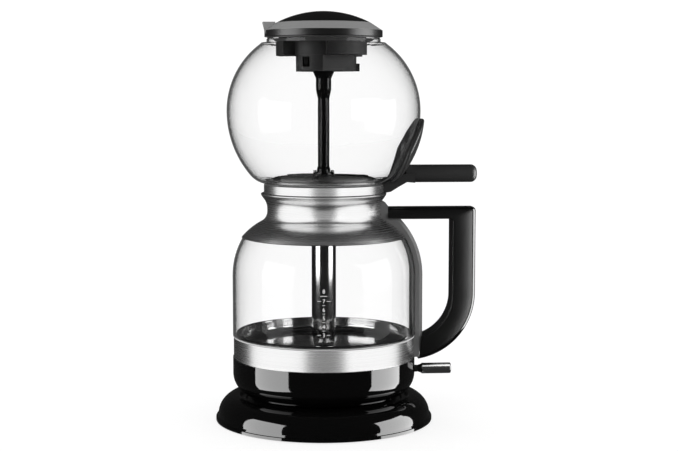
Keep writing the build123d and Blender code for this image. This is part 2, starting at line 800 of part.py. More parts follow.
# ================================================================ switch lever
tip_x = body_r + lever_tip_start
with BuildPart() as lever_arm:
    with BuildSketch(Plane.XZ):
        with Locations((lever_x, lever_z)):
            Circle(lever_hub_r)
        with Locations((lever_x - 6, lever_z)):
            Rectangle(12, 4)
        with Locations(((lever_x + body_r + 3) / 2, lever_z)):
            Rectangle(body_r + 3 - lever_x, lever_neck_h)
    extrude(amount=lever_w / 2, both=True)
    with BuildSketch(Plane.XZ):
        with Locations((lever_x, lever_z)):
            Circle(lever_pin_r + pin_gap)
    extrude(amount=lever_w, both=True, mode=Mode.SUBTRACT)
    with BuildSketch(Plane.YZ.offset(body_r + 2.4)):
        with Locations((0, lever_z)):
            Circle(2.7)
    with BuildSketch(Plane.YZ.offset(tip_x)):
        with Locations((0, lever_z)):
            Circle(4.2)
    loft()
finish_part(lever_arm, "lever_arm")

with BuildPart() as lever_tip:
    with BuildSketch(Plane.YZ.offset(tip_x)):
        with Locations((0, lever_z)):
            Circle(lever_tip_r)
    extrude(amount=lever_tip_l)
    fillet(lever_tip.edges().group_by(Axis.X)[-1], 1.2)
    fillet(lever_tip.edges().group_by(Axis.X)[0], 0.6)
finish_part(lever_tip, "lever_tip")

with BuildPart() as lever_pin:
    with BuildSketch(Plane.XZ):
        with Locations((lever_x, lever_z)):
            Circle(lever_pin_r)
    extrude(amount=ear_in + 1.8, both=True)
finish_part(lever_pin, "lever_pin")

# ================================================================ brew unit
globe_centre_high = (globe_r - globe_upper_r, globe_z)
globe_centre_low = (globe_r - globe_lower_r, globe_z)
high_angle = degrees(asin(globe_high_up / globe_upper_r))
globe_centre_bend = (globe_foot_r, bend_up)
low_angle = degrees(atan2(globe_z - bend_up, globe_foot_r + globe_lower_out))


def globe_outline(inset):
    """The globe from the edge of its lower hole to its mouth, moved in by inset."""
    low_r = globe_lower_r - inset
    high_r = globe_upper_r - inset
    high_end = on_circle(globe_centre_high, high_r, high_angle)
    foot = (globe_hole_r, globe_seat_z + inset)
    Line(foot, (globe_foot_r, foot[1]))
    CenterArc(globe_centre_bend, globe_bend_r - inset, -90, 90 - low_angle)
    CenterArc(globe_centre_low, low_r, -low_angle, low_angle)
    CenterArc(globe_centre_high, high_r, 0, high_angle)
    throat = (mouth_r - inset, mouth_base_z + 1.6 - inset * 0.4)
    Line(high_end, (mouth_r + mouth_bend - inset, throat[1]))
    Line((mouth_r + mouth_bend - inset, throat[1]), throat)
    Line(throat, (mouth_r - inset, mouth_z))
    return foot, (mouth_r - inset, mouth_z)


def globe_section(outer, inner):
    """Section between two insets of the globe's outline."""
    with BuildSketch(Plane.XZ) as section:
        with BuildLine():
            outer_foot, outer_top = globe_outline(outer)
            inner_foot, inner_top = globe_outline(inner)
            Line(outer_foot, inner_foot)
            Line(outer_top, inner_top)
        make_face()
    return section.sketch


with BuildPart() as globe_glass:
    revolve(globe_section(0, globe_t), axis=Axis.Z)
    chamfer(globe_glass.edges().group_by(Axis.Z)[-1], 0.6)
finish_part(globe_glass, "globe_glass")

dish_rim_r = ring_r - ring_wall
with BuildPart() as brew_ring:
    disc(ring_r, ring_z, ring_top_z)
    chamfer(brew_ring.edges().group_by(Axis.Z)[-1], 0.8)
    disc(dish_rim_r, ring_z + 1.5, ring_top_z, mode=Mode.SUBTRACT)
    disc(skirt_r, ring_z - skirt_down, ring_z + 1.5)
    disc(skirt_r - 1.2, ring_z - skirt_down, ring_z + 1.5, mode=Mode.SUBTRACT)
finish_part(brew_ring, "brew_ring")

gasket_r = neck_glass_r - glass_t - body_gap
with BuildPart() as siphon_gasket:
    disc(gasket_r - 0.8, ring_z - skirt_down, ring_z)
    for rib in range(3):
        rib_z = ring_z - skirt_down + 1.5 + rib * 2.2
        disc(gasket_r, rib_z, rib_z + 1.2)
    disc(skirt_r, ring_z - skirt_down, ring_z, mode=Mode.SUBTRACT)
finish_part(siphon_gasket, "siphon_gasket")

tube_low_z = plate_floor_z + tube_floor_gap
with BuildPart() as siphon_tube:
    with BuildSketch(Plane.XZ):
        with BuildLine():
            dish_in_r = filter_r + 0.5
            throat_z = dish_z - dish_rise
            Polyline(
                (tube_r - tube_t, throat_z - 4),
                (tube_r - tube_t, tube_low_z),
                (tube_r, tube_low_z),
                (tube_r, throat_z - 5),
            )
            ThreePointArc(
                (tube_r, throat_z - 5),
                (tube_r + 1.6, throat_z - 1.6),
                (tube_r + 5, throat_z),
            )
            Polyline(
                (tube_r + 5, throat_z),
                (dish_in_r, dish_z),
                (dish_rim_r, dish_z),
                (dish_rim_r, dish_z + tube_t),
                (dish_in_r, dish_z + tube_t),
                (tube_r + 5, throat_z + tube_t),
            )
            ThreePointArc(
                (tube_r + 5, throat_z + tube_t),
                (tube_r + 0.9, throat_z - 0.9),
                (tube_r - tube_t, throat_z - 4),
            )
        make_face()
    revolve(axis=Axis.Z)
finish_part(siphon_tube, "siphon_tube")

seal_in_r = filter_r + 0.6 + body_gap
with BuildPart() as globe_seal:
    disc(dish_rim_r, dish_z + tube_t, globe_seat_z - 0.7)
    disc(globe_hole_r + 1.0, dish_z + tube_t, globe_seat_z)
    disc(globe_hole_r - 0.5, globe_seat_z, globe_seat_z + 1.6)
    disc(seal_in_r, dish_z, globe_seat_z + 2, mode=Mode.SUBTRACT)
finish_part(globe_seal, "globe_seal")

leaf_top_z = ring_top_z + pad_top_up
leaf_low_z = ring_top_z + 1.0
leaf_mid_z = ring_top_z + 0.5 * pad_top_up
with BuildPart() as brew_handle:
    # leaf-shaped pad that lies on the globe
    revolve(globe_section(-pad_t, -body_gap / 3), axis=Axis.Z)
    with BuildSketch(Plane.YZ):
        with BuildLine():
            Line((0, leaf_top_z), (0, leaf_low_z))
            Line((0, leaf_low_z), (pad_foot_w, leaf_low_z))
            ThreePointArc(
                (pad_foot_w, leaf_low_z),
                (pad_half_w * 0.80, leaf_low_z + 0.25 * pad_top_up),
                (pad_half_w, leaf_mid_z),
            )
            ThreePointArc(
                (pad_half_w, leaf_mid_z),
                (pad_half_w * 0.77, leaf_top_z - 0.18 * pad_top_up),
                (0, leaf_top_z),
            )
        make_face()
        mirror(about=Plane.YZ)
    extrude(amount=globe_r + 2 * pad_t, mode=Mode.INTERSECT)
    fillet(brew_handle.edges(), pad_edge)
    # round stick
    with BuildSketch(Plane.YZ.offset(stick_start)):
        with Locations((0, stick_z)):
            Circle(stick_r)
    extrude(amount=stick_reach - cap_l - stick_start)
    # web from the stick down to the ring
    with BuildSketch(Plane.XZ):
        Polygon(
            (ring_r - 2, ring_z + 1.5),
            (ring_r + 1.8, ring_z - 0.1),
            (ring_r + 6.1, ring_z + 0.7),
            (stick_start - 7.2, ring_z + 4.9),
            (stick_start + 0.6, ring_z + 9.3),
            (stick_start + 8, stick_z - stick_r),
            (stick_start + 8, stick_z),
            (stick_start - 2, stick_z),
            (ring_r - 2, ring_top_z),
            align=None,
        )
    extrude(amount=web_w / 2, both=True)
    revolve(globe_section(-body_gap / 3, pad_cut), axis=Axis.Z, mode=Mode.SUBTRACT)
    disc(ring_r, ring_z - 2, ring_top_z + 3, mode=Mode.SUBTRACT)
finish_part(brew_handle, "brew_handle")

with BuildPart() as brew_handle_cap:
    with BuildSketch(Plane.YZ.offset(stick_reach - cap_l)):
        with Locations((0, stick_z)):
            Circle(stick_r)
    extrude(amount=cap_l)
    fillet(brew_handle_cap.edges().group_by(Axis.X)[-1], cap_edge)
finish_part(brew_handle_cap, "brew_handle_cap")

# ================================================================ filter
filter_top_z = filter_z + filter_h
mesh_edge_r = filter_r - filter_rim_w
dome_r = cap_radius(mesh_edge_r, mesh_dome_h)
dome_centre_z = filter_top_z - 0.6 + mesh_dome_h - dome_r
with BuildPart() as filter_frame:
    ring(mesh_edge_r, filter_r, filter_z, filter_top_z)
    disc(filter_r + 0.6, filter_z, filter_z + 1.2)
    disc(mesh_edge_r, filter_z, filter_z + 1.2, mode=Mode.SUBTRACT)
    chamfer(filter_frame.edges().group_by(Axis.Z)[-1].sort_by(SortBy.LENGTH)[-1], 0.8)
    with BuildSketch(Plane.XY.offset(filter_z + 1.0)):
        with PolarLocations(0, filter_spokes, start_angle=spoke_turn):
            Rectangle(filter_r - 1, spoke_w, align=(Align.MIN, Align.CENTER))
        Circle(hub_r)
    extrude(amount=2.0)
finish_part(filter_frame, "filter_frame")

foot_z = dome_centre_z + dome_r + 1.6
foot_flange_t = 1.6
with BuildPart() as filter_bolts:
    with Locations(Plane.XY.offset(foot_z + foot_flange_t)):
        with PolarLocations(hub_r - bolt_in, 2):
            Cylinder(filter_bolt_head_r, 1.8, align=UP_FROM)
            Cylinder(filter_bolt_r, 5.0, align=(Align.CENTER, Align.CENTER, Align.MAX))
finish_part(filter_bolts, "filter_bolts")

with BuildPart() as filter_mesh:
    with Locations((0, 0, dome_centre_z)):
        Sphere(dome_r)
        Sphere(dome_r - mesh_t, mode=Mode.SUBTRACT)
    with BuildSketch(Plane.XY.offset(filter_z + 3.0)):
        Circle(mesh_edge_r)
    extrude(amount=10, mode=Mode.INTERSECT)
    add(filter_bolts.part, mode=Mode.SUBTRACT)
finish_part(filter_mesh, "filter_mesh")

with BuildPart() as filter_spider:
    with Locations((0, 0, dome_centre_z)):
        Sphere(dome_r + 1.6)
        Sphere(dome_r, mode=Mode.SUBTRACT)
    with BuildSketch(Plane.XY.offset(filter_z + 3.0)):
        with PolarLocations(0, filter_spokes, start_angle=spoke_turn):
            Rectangle(mesh_edge_r - 0.3, spoke_w, align=(Align.MIN, Align.CENTER))
        Circle(hub_r)
    extrude(amount=12, mode=Mode.INTERSECT)
    add(filter_bolts.part, mode=Mode.SUBTRACT)
finish_part(filter_spider, "filter_spider")

with BuildPart() as filter_seal:
    ring(filter_r - 4.5, filter_r + 0.3, filter_z - 1.1, filter_z)
finish_part(filter_seal, "filter_seal")

stem_top_z = mouth_z - stem_top_down
with BuildPart() as filter_stem:
    with BuildSketch(Plane.XZ):
        with BuildLine():
            Polyline(
                (0, foot_z),
                (hub_r - 0.5, foot_z),
                (hub_r - 0.5, foot_z + foot_flange_t),
                (stem_r + 0.9, foot_z + foot_flange_t),
                (stem_r + 0.9, foot_z + 4.6),
                (stem_r, foot_z + 7),
                (stem_r, stem_top_z - 24),
                (stem_head_r, stem_top_z - 16),
                (stem_head_r, stem_top_z - 6),
                (stem_flare_r, stem_top_z),
                (spigot_r, stem_top_z),
                (spigot_r, stem_top_z + spigot_h),
                (0, stem_top_z + spigot_h),
                (0, foot_z),
            )
        make_face()
    revolve(axis=Axis.Z)
    # flutes along the rod
    with BuildSketch(Plane.XY.offset(foot_z + 8)):
        with PolarLocations(stem_r + 0.9, 4, start_angle=45):
            Circle(1.8)
    extrude(amount=stem_top_z - 26 - foot_z - 8, mode=Mode.SUBTRACT)
    # long oval recess in the head, front and back
    with BuildSketch(Plane.XZ):
        with Locations((0, stem_top_z - 11)):
            SlotOverall(14, 6.4, rotation=90)
    extrude(amount=stem_head_r + 4, both=True, mode=Mode.SUBTRACT)
    with Locations((0, 0, stem_top_z - 11)):
        Box(8, 2 * (stem_head_r - 1.6), 16)
    add(filter_bolts.part, mode=Mode.SUBTRACT)
finish_part(filter_stem, "filter_stem")


# ================================================================ lid
rim_top_z = lid_z + lid_rim_h
band_top = rim_top_z + lid_band_h


def tab_outline():
    """Side view of the lid's tab on the left."""
    with BuildSketch(Plane.XZ) as section:
        Polygon(
            (-tab_reach, band_top + 0.4),
            (-lid_band_r - 1, band_top + 0.4),
            (-lid_band_r - 1, lid_z),
            (-lid_r + 1.5, lid_z),
            align=None,
        )
    return section.sketch


with BuildPart() as lid_rim:
    disc(lid_r, lid_z, rim_top_z)
    disc(lid_r - lid_wall, lid_z + 1.6, rim_top_z, mode=Mode.SUBTRACT)
    disc(12, lid_z, lid_z + 1.6, mode=Mode.SUBTRACT)
    extrude(tab_outline(), amount=tab_w / 2, both=True, mode=Mode.SUBTRACT)
finish_part(lid_rim, "lid_rim")

with BuildPart() as lid_band:
    with BuildSketch(Plane.XZ):
        Polygon(
            (lid_r, rim_top_z),
            (lid_band_r, band_top),
            (lid_band_r - 3, band_top),
            (lid_band_r - 3, band_top - 2),
            (lid_r - 3.4, rim_top_z),
            align=None,
        )
    revolve(axis=Axis.Z)
    extrude(tab_outline(), amount=tab_w / 2, both=True)
    disc(lid_band_r - 3, lid_z, band_top + 5, mode=Mode.SUBTRACT)
finish_part(lid_band, "lid_band")

lid_sphere_r = cap_radius(lid_band_r, lid_dome_h)
lid_sphere_z = band_top + lid_dome_h - lid_sphere_r
with BuildPart() as lid_dome:
    with Locations((0, 0, lid_sphere_z)):
        Sphere(lid_sphere_r)
    with Locations((0, 0, band_top)):
        Cylinder(lid_band_r + 5, lid_dome_h + 5, align=UP_FROM, mode=Mode.INTERSECT)
    with Locations((0, 0, lid_sphere_z)):
        Sphere(lid_sphere_r - lid_wall, mode=Mode.SUBTRACT)
finish_part(lid_dome, "lid_dome")

plug_top_z = mouth_z - plug_down
plug_low_z = plug_top_z - plug_h
with BuildPart() as lid_plug:
    with BuildSketch(Plane.XY.offset(plug_low_z)):
        Circle(plug_r)
        for direction in (180, 60, -60):
            with BuildLine():
                lug_start = on_circle((0, 0), lug_r, direction - 30)
                lug_end = on_circle((0, 0), lug_r, direction + 30)
                Line((0, 0), lug_start)
                CenterArc((0, 0), lug_r, direction - 30, 60)
                Line(lug_end, (0, 0))
            make_face()
    extrude(amount=plug_h)
    disc(lid_neck_r, plug_top_z, lid_z)
    disc(plug_r - 3, plug_low_z, plug_top_z - 2.5, mode=Mode.SUBTRACT)
    disc(lid_neck_r - 3, plug_top_z - 3, lid_z, mode=Mode.SUBTRACT)
finish_part(lid_plug, "lid_plug")

with BuildPart() as lid_seal:
    with BuildSketch(Plane.XZ):
        Polygon(
            (lid_neck_r, plug_top_z),
            (lug_r - 1, plug_top_z),
            (lug_r + 3.6, mouth_z + body_gap),
            (lid_seal_r, mouth_z + body_gap),
            (lid_seal_r, mouth_z + body_gap + 0.8),
            (lug_r + 3, mouth_z + body_gap + 0.8),
            (lug_r - 2, plug_top_z + 1.1),
            (lid_neck_r, plug_top_z + 1.1),
            align=None,
        )
    revolve(axis=Axis.Z)
finish_part(lid_seal, "lid_seal")

cup_low_z = plug_low_z - socket_cup_h
with BuildPart() as lid_socket:
    with BuildSketch(Plane.XY.offset(cup_low_z)) as cup:
        Circle(socket_cup_r)
        for direction in (180, 60, -60):
            with Locations(on_circle((0, 0), socket_flat, direction)):
                Rectangle(30, 60, rotation=direction, align=(Align.MIN, Align.CENTER), mode=Mode.SUBTRACT)
    extrude(amount=socket_cup_h)
    with BuildSketch(Plane.XY.offset(cup_low_z + 2)):
        offset(cup.sketch, amount=-2.2)
    extrude(amount=socket_cup_h, mode=Mode.SUBTRACT)
    disc(spigot_r + 0.4, cup_low_z - 1, cup_low_z + 3, mode=Mode.SUBTRACT)
    # window of the snap finger
    with BuildSketch(Plane.XZ):
        with Locations((finger_x, cup_low_z + 8)):
            Rectangle(window_w, socket_cup_h - 5)
    extrude(amount=40, mode=Mode.SUBTRACT)
    # hook on the far side
    with Locations((socket_cup_r + 0.6, 0, cup_low_z)):
        Box(4.0, hook_w, socket_cup_h / 2, align=UP_FROM)
finish_part(lid_socket, "lid_socket")

with BuildPart() as lid_catch:
    with Locations((finger_x, finger_y, cup_low_z + 5)):
        Box(window_w - 2.6, 1.8, socket_cup_h - 5, align=UP_FROM)
finish_part(lid_catch, "lid_catch")

with BuildPart() as lid_screws:
    with Locations(Plane.XY.offset(lid_z + 1.6)):
        with PolarLocations(lid_neck_r - 4.5, 3, start_angle=90):
            Cylinder(2.4, 1.6, align=UP_FROM)
finish_part(lid_screws, "lid_screws")
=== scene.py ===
import json
import math

import bmesh
import bpy
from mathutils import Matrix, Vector


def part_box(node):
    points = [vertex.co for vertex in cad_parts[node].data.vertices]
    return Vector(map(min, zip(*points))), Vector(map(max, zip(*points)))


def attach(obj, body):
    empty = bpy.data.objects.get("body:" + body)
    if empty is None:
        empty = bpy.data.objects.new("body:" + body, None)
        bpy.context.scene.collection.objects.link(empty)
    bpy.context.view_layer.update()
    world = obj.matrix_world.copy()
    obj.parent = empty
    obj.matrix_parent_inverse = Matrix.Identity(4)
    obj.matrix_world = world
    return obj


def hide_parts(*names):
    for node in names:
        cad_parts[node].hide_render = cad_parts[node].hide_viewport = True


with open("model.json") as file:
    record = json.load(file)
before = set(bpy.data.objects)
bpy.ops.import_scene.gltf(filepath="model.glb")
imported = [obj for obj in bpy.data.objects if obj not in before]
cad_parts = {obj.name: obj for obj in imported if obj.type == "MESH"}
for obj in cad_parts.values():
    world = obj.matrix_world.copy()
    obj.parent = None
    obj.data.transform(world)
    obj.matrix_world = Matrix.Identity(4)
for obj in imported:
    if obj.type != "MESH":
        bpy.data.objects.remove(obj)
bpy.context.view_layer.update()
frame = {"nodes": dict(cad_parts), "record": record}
nodes = frame["nodes"]


# ---------------------------------------------------------------- materials
def shader(name, colour, roughness, metallic=0.0, ior=1.5):
    """A material with a Principled shader, and that shader."""
    material = bpy.data.materials.new(name)
    material.use_nodes = True
    bsdf = material.node_tree.nodes["Principled BSDF"]
    bsdf.inputs["Base Color"].default_value = (*colour, 1.0)
    bsdf.inputs["Roughness"].default_value = roughness
    bsdf.inputs["Metallic"].default_value = metallic
    bsdf.inputs["IOR"].default_value = ior
    return material, bsdf


def noise(material, scale, detail=3.0, stretch=(1.0, 1.0, 1.0)):
    """A noise texture in the object's own coordinates; stretch multiplies its frequency per axis."""
    tree = material.node_tree
    place = tree.nodes.new("ShaderNodeTexCoord")
    mapping = tree.nodes.new("ShaderNodeMapping")
    mapping.inputs["Scale"].default_value = stretch
    texture = tree.nodes.new("ShaderNodeTexNoise")
    texture.inputs["Scale"].default_value = scale
    texture.inputs["Detail"].default_value = detail
    tree.links.new(place.outputs["Object"], mapping.inputs["Vector"])
    tree.links.new(mapping.outputs["Vector"], texture.inputs["Vector"])
    return texture.outputs["Fac"]


def turned_lines(material, frequency):
    """Noise in rings about the Z axis, which wander a little round each turn."""
    tree = material.node_tree
    place = tree.nodes.new("ShaderNodeTexCoord")
    split = tree.nodes.new("ShaderNodeSeparateXYZ")
    flat = tree.nodes.new("ShaderNodeCombineXYZ")
    reach = tree.nodes.new("ShaderNodeVectorMath")
    reach.operation = "LENGTH"
    turn = tree.nodes.new("ShaderNodeMath")
    turn.operation = "ARCTAN2"
    join = tree.nodes.new("ShaderNodeCombineXYZ")
    mapping = tree.nodes.new("ShaderNodeMapping")
    mapping.inputs["Scale"].default_value = (frequency, frequency, 0.3)
    texture = tree.nodes.new("ShaderNodeTexNoise")
    texture.inputs["Scale"].default_value = 1.0
    texture.inputs["Detail"].default_value = 5.0
    tree.links.new(place.outputs["Object"], split.inputs["Vector"])
    for axis in ("X", "Y"):
        tree.links.new(split.outputs[axis], flat.inputs[axis])
    tree.links.new(flat.outputs["Vector"], reach.inputs[0])
    tree.links.new(split.outputs["Y"], turn.inputs[0])
    tree.links.new(split.outputs["X"], turn.inputs[1])
    tree.links.new(reach.outputs["Value"], join.inputs["X"])
    tree.links.new(split.outputs["Z"], join.inputs["Y"])
    tree.links.new(turn.outputs[0], join.inputs["Z"])
    tree.links.new(join.outputs["Vector"], mapping.inputs["Vector"])
    tree.links.new(mapping.outputs["Vector"], texture.inputs["Vector"])
    return texture.outputs["Fac"]


def spread(material, source, low, high):
    """Map a 0 to 1 value to the range from low to high."""
    tree = material.node_tree
    node = tree.nodes.new("ShaderNodeMapRange")
    node.inputs["To Min"].default_value = low
    node.inputs["To Max"].default_value = high
    tree.links.new(source, node.inputs["Value"])
    return node.outputs["Result"]


def bump(material, bsdf, source, distance, strength=1.0):
    """Raise the surface by a texture, in metres."""
    tree = material.node_tree
    node = tree.nodes.new("ShaderNodeBump")
    node.inputs["Distance"].default_value = distance
    node.inputs["Strength"].default_value = strength
    tree.links.new(source, node.inputs["Height"])
    tree.links.new(node.outputs["Normal"], bsdf.inputs["Normal"])


def tint(material, bsdf, source, dark, light):
    """Vary the base colour between two colours by a texture."""
    tree = material.node_tree
    ramp = tree.nodes.new("ShaderNodeValToRGB")
    ramp.color_ramp.elements[0].color = (*dark, 1.0)
    ramp.color_ramp.elements[1].color = (*light, 1.0)
    ramp.color_ramp.elements[0].position = 0.3
    ramp.color_ramp.elements[1].position = 0.7
    tree.links.new(source, ramp.inputs["Fac"])
    tree.links.new(ramp.outputs["Color"], bsdf.inputs["Base Color"])


def grey(value):
    return (value, value, value)


def gloss_plastic(name, value, ior=1.5):
    """Polished moulded plastic: nearly black, with faint flow marks and fine wipe marks."""
    material, bsdf = shader(name, grey(value), 0.05, ior=ior)
    marks = noise(material, 60.0, 4.0)
    material.node_tree.links.new(spread(material, marks, 0.03, 0.075), bsdf.inputs["Roughness"])
    bump(material, bsdf, noise(material, 18.0, 1.0), 0.00002)
    return material


def satin_plastic(name, value, roughness, grain=0.00003, sheen_level=0.5):
    """Moulded plastic with a fine spark-eroded grain."""
    material, bsdf = shader(name, grey(value), roughness)
    bsdf.inputs["Specular IOR Level"].default_value = sheen_level
    fine = noise(material, 2600.0, 2.0)
    broad = noise(material, 45.0, 3.0)
    material.node_tree.links.new(
        spread(material, broad, roughness - 0.05, roughness + 0.05), bsdf.inputs["Roughness"]
    )
    tint(material, bsdf, fine, grey(value * 0.85), grey(value * 1.15))
    bump(material, bsdf, fine, grain)
    return material


def brushed_metal(name, value, roughness):
    """Steel brushed round the Z axis: long fine lines along each turn."""
    material, bsdf = shader(name, grey(value), roughness, metallic=1.0)
    tree = material.node_tree
    lines = turned_lines(material, 4200.0)
    tree.links.new(spread(material, lines, roughness - 0.02, roughness + 0.02), bsdf.inputs["Roughness"])
    tint(material, bsdf, lines, grey(value * 0.95), grey(min(1.0, value * 1.05)))
    bump(material, bsdf, lines, 0.0000005, 0.5)
    bsdf.inputs["Anisotropic"].default_value = 0.3
    tangent = tree.nodes.new("ShaderNodeTangent")
    tangent.direction_type = "RADIAL"
    tangent.axis = "Z"
    tree.links.new(tangent.outputs["Tangent"], bsdf.inputs["Tangent"])
    return material


def polished_metal(name, value, roughness, colour=None):
    """Bright metal with faint smudges."""
    material, bsdf = shader(name, colour or grey(value), roughness, metallic=1.0)
    smudge = noise(material, 35.0, 4.0)
    material.node_tree.links.new(
        spread(material, smudge, roughness * 0.6, roughness * 1.5), bsdf.inputs["Roughness"]
    )
    bump(material, bsdf, noise(material, 40.0, 1.0), 0.000003)
    return material


def clear_glass(name):
    """Borosilicate glass: clear, with a very faint ripple."""
    material, bsdf = shader(name, grey(0.99), 0.0, ior=1.3)
    bsdf.inputs["Transmission Weight"].default_value = 1.0
    bump(material, bsdf, noise(material, 14.0, 1.0), 0.00001)
    return material


def soft_rubber(name, value):
    """Rubber or silicone: matte, with a dusty fine grain."""
    material, bsdf = shader(name, grey(value), 0.6)
    grain = noise(material, 900.0, 3.0)
    tint(material, bsdf, grain, grey(value * 0.8), grey(value * 1.2))
    bump(material, bsdf, grain, 0.00004)
    return material


def woven_mesh(name):
    """Fine stainless weave, seen from above: two crossed sets of wires."""
    material, bsdf = shader(name, grey(0.45), 0.35, metallic=1.0)
    tree = material.node_tree
    place = tree.nodes.new("ShaderNodeTexCoord")
    split = tree.nodes.new("ShaderNodeSeparateXYZ")
    tree.links.new(place.outputs["Object"], split.inputs["Vector"])
    waves = []
    for axis in ("X", "Y"):
        scaled = tree.nodes.new("ShaderNodeMath")
        scaled.operation = "MULTIPLY"
        scaled.inputs[1].default_value = 2 * math.pi / 0.0008
        wave = tree.nodes.new("ShaderNodeMath")
        wave.operation = "SINE"
        tree.links.new(split.outputs[axis], scaled.inputs[0])
        tree.links.new(scaled.outputs[0], wave.inputs[0])
        waves.append(wave)
    weave = tree.nodes.new("ShaderNodeMath")
    weave.operation = "MULTIPLY_ADD"
    weave.inputs[2].default_value = 0.5
    half = tree.nodes.new("ShaderNodeMath")
    half.operation = "MULTIPLY"
    half.inputs[1].default_value = 0.5
    tree.links.new(waves[0].outputs[0], half.inputs[0])
    tree.links.new(half.outputs[0], weave.inputs[0])
    tree.links.new(waves[1].outputs[0], weave.inputs[1])
    tint(material, bsdf, weave.outputs[0], grey(0.3), grey(0.85))
    bump(material, bsdf, weave.outputs[0], 0.00012)
    return material


finishes = {
    "gloss_black": gloss_plastic("gloss_black_plastic", 0.001),
    "satin_black": satin_plastic("satin_black_plastic", 0.004, 0.38),
    "lid_inside": satin_plastic("lid_inside_plastic", 0.006, 0.5, sheen_level=0.2),
    "lid_black": satin_plastic("lid_black_plastic", 0.004, 0.34, sheen_level=0.35),
    "brew_grip": satin_plastic("brew_grip_plastic", 0.012, 0.4),
    "grip_black": satin_plastic("grip_black_plastic", 0.002, 0.36),
    "trim_gloss": gloss_plastic("trim_gloss_plastic", 0.001, ior=1.7),
    "grip_grey": satin_plastic("grip_grey_plastic", 0.07, 0.42),
    "pan_steel": polished_metal("pan_steel", 0.62, 0.1),
    "mark_white": satin_plastic("mark_white_ink", 0.5, 0.5, grain=0.00001),
    "lever_steel": polished_metal("lever_steel", 0.8, 0.2),
    "lid_grey": satin_plastic("lid_grey_plastic", 0.16, 0.36),
    "inner_plastic": satin_plastic("inner_grey_plastic", 0.2, 0.5),
    "brushed_steel": brushed_metal("brushed_steel", 0.78, 0.27),
    "polished_steel": polished_metal("polished_steel", 0.86, 0.08),
    "screw_steel": polished_metal("screw_steel", 0.55, 0.25),
    "clear_glass": clear_glass("clear_glass"),
    "black_rubber": soft_rubber("black_rubber", 0.015),
    "grey_silicone": soft_rubber("grey_silicone", 0.25),
    "brass": polished_metal("brass", 0.6, 0.2, colour=(0.72, 0.53, 0.23)),
    "aluminium": polished_metal("cast_aluminium", 0.7, 0.4),
    "filter_mesh": woven_mesh("woven_steel"),
}
slots = {entry["node"]: entry["material_slot"] for entry in frame["record"]["subparts"]}
own_finish = {  # pieces whose tone differs from the rest of their slot
    "handle_grip": "grip_black",
    "handle_trim": "trim_gloss",
    "brew_handle": "brew_grip",
    "brew_handle_cap": "brew_grip",
    "lid_rim": "lid_black",
    "lid_plug": "lid_inside",
    "lid_socket": "lid_inside",
    "lid_catch": "lid_inside",
    "hot_plate": "pan_steel",
    "lever_tip": "lever_steel",
}


def dress(thing, finish):
    """Give an object one finish, in its own material slot."""
    if not thing.material_slots:
        thing.data.materials.append(None)
    for place in thing.material_slots:
        place.link = "OBJECT"
        place.material = finishes[finish]


for name, thing in nodes.items():
    dress(thing, own_finish.get(name, slots[name]))
    if slots[name] == "clear_glass":
        thing.visible_shadow = False

# ---------------------------------------------------------------- cup marks and soft handle pieces
def mesh_piece(name, points, faces, body, finish, smooth=True):
    """A piece from points and faces that rides on a CAD body."""
    mesh = bpy.data.meshes.new(name)
    mesh.from_pydata(points, [], faces)
    mesh.validate()
    mesh.polygons.foreach_set("use_smooth", [smooth] * len(mesh.polygons))
    thing = bpy.data.objects.new(name, mesh)
    bpy.context.collection.objects.link(thing)
    dress(thing, finish)
    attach(thing, body)
    return thing


capital_share = 0.7  # height of the font's capitals as a share of its size


def digit_outline(text, height):
    """Flat points and faces of one numeral, centred on the origin."""
    curve = bpy.data.curves.new("numeral", "FONT")
    curve.body = text
    curve.size = height / capital_share
    curve.align_x = "CENTER"
    curve.resolution_u = 3
    thing = bpy.data.objects.new("numeral", curve)
    bpy.context.collection.objects.link(thing)
    bpy.context.view_layer.update()
    mesh = bpy.data.meshes.new_from_object(thing)
    points = [(v.co.x, v.co.y - height / 2) for v in mesh.vertices]
    faces = [tuple(p.vertices) for p in mesh.polygons]
    bpy.data.objects.remove(thing)
    bpy.data.curves.remove(curve)
    bpy.data.meshes.remove(mesh)
    return points, faces


def bar(left, right, low, high, parts=4):
    """Flat points and faces of a dash, cut into parts so that it can bend."""
    points, faces = [], []
    for i in range(parts + 1):
        x = left + (right - left) * i / parts
        points += [(x, low), (x, high)]
    for i in range(parts):
        faces.append((2 * i, 2 * i + 2, 2 * i + 3, 2 * i + 1))
    return points, faces


ink_t = 0.00004
mark_turn = math.radians(-3.5)
glass_low, glass_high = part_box("carafe_glass")
mark_r = glass_high[0] + ink_t
mark_z = glass_low[2] + 0.0124  # middle of the lowest numeral
mark_step = 0.0073
mark_h = 0.0034
numerals = "34567"
last_step = len(numerals) - 1
long_line_z = mark_z + last_step * mark_step + 0.0043
top_mark_z = mark_z + last_step * mark_step + 0.0084
side_dash_in, side_dash_out = 0.0024, 0.0056
side_dash_half_h = 0.00018
dash_half_w = 0.0012
dash_half_h = 0.0002
long_line_half_w = 0.0030
mark_points, mark_faces = [], []


def print_on_glass(flat, height):
    """Wrap a flat outline onto the front of the carafe glass at a height."""
    first = len(mark_points)
    points, faces = flat
    for x, z in points:
        turn = mark_turn + x / mark_r
        mark_points.append((mark_r * math.sin(turn), -mark_r * math.cos(turn), height + z))
    mark_faces.extend(tuple(first + i for i in face) for face in faces)


